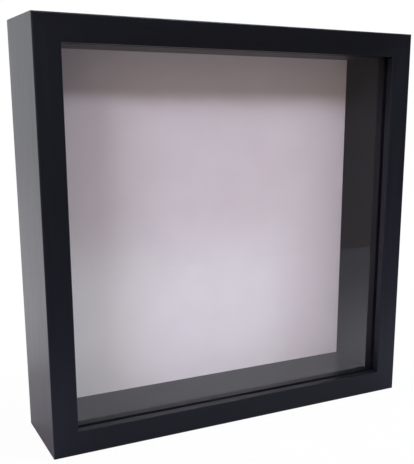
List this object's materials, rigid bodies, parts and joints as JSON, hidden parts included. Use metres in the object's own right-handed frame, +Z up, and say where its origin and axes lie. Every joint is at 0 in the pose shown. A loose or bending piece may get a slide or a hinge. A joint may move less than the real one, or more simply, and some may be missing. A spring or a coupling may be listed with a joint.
{
  "type": "shadow box",
  "caption": "Square deep display box frame with mitred black rails, a glass front, black inner spacers, a white backing card and a lift-out back held by turn buttons.",
  "frame": {"origin": "middle of the underside of the bottom rail, half-way through the depth of the rails", "axes": "+Z up, +X to the right seen from the front, +Y to the rear, so the glass front faces -Y"},
  "size_m": [0.25, 0.0636, 0.25],
  "materials": {
    "black_foil": "fibreboard moulding wrapped in matt black foil with a faint grain",
    "glass": "clear float glass with ground edges",
    "black_liner": "fibreboard strip wrapped in matt black paper",
    "white_card": "smooth matt white mount board",
    "fibreboard": "bare brown fibreboard",
    "zinc_steel": "bright zinc plate",
    "rubber": "matt dark rubber"
  },
  "bodies": {
    "frame": {"rail_top": "black_foil", "rail_bottom": "black_foil", "rail_left": "black_foil", "rail_right": "black_foil", "glass_pane": "glass", "spacer_top": "black_liner", "spacer_bottom": "black_liner", "spacer_left": "black_liner", "spacer_right": "black_liner", "button_screw_top": "zinc_steel", "button_screw_bottom": "zinc_steel", "button_screw_left": "zinc_steel", "button_screw_right": "zinc_steel", "v_nail_1": "zinc_steel", "v_nail_2": "zinc_steel", "v_nail_3": "zinc_steel", "v_nail_4": "zinc_steel", "sawtooth_hanger": "zinc_steel", "hanger_nail_left": "zinc_steel", "hanger_nail_right": "zinc_steel", "bumper_left": "rubber", "bumper_right": "rubber"},
    "back": {"backing_card": "white_card", "back_panel": "fibreboard"},
    "button_top": {"turn_button_top": "zinc_steel"},
    "button_bottom": {"turn_button_bottom": "zinc_steel"},
    "button_left": {"turn_button_left": "zinc_steel"},
    "button_right": {"turn_button_right": "zinc_steel"}
  },
  "joints": [
    {"name": "back_slide", "type": "slide", "parent": "frame", "child": "back", "axis": [0, 1, 0], "range_m": [0, 0.08]},
    {"name": "button_top_turn", "type": "hinge", "parent": "frame", "child": "button_top", "pos_m": [0.05, 0.0308, 0.245], "axis": [0, -1, 0], "continuous": true},
    {"name": "button_bottom_turn", "type": "hinge", "parent": "frame", "child": "button_bottom", "pos_m": [0, 0.0308, 0.005], "axis": [0, -1, 0], "continuous": true},
    {"name": "button_left_turn", "type": "hinge", "parent": "frame", "child": "button_left", "pos_m": [-0.12, 0.0308, 0.125], "axis": [0, -1, 0], "continuous": true},
    {"name": "button_right_turn", "type": "hinge", "parent": "frame", "child": "button_right", "pos_m": [0.12, 0.0308, 0.125], "axis": [0, -1, 0], "continuous": true}
  ]
}
